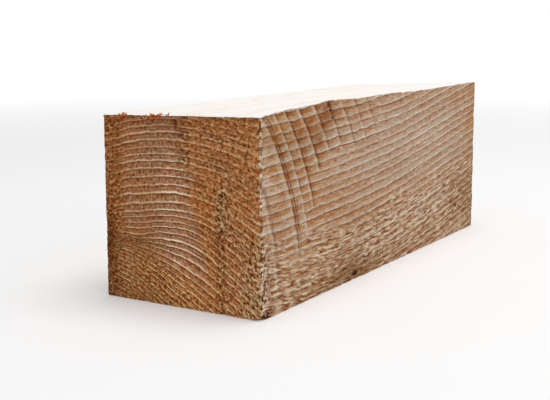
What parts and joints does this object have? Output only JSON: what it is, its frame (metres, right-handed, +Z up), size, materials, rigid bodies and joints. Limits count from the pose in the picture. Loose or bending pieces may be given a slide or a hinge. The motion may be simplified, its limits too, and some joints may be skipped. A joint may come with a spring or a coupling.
{
  "type": "sawn timber block",
  "caption": "Short squared block of rough-sawn softwood, its top a little out of square, with lightly worn arrises and one knocked corner, lying on its base.",
  "frame": {"origin": "centre of the base, where the timber rests on the ground", "axes": "+X along the length towards the far sawn end, +Y across the width away from the front side, +Z up"},
  "size_m": [0.275, 0.097, 0.1015],
  "materials": {
    "sawn_softwood": "rough sawn, dry and unfinished, with pale growth lines and brown end grain"
  },
  "bodies": {
    "root": {"sawn_timber": "sawn_softwood"}
  },
  "joints": []
}
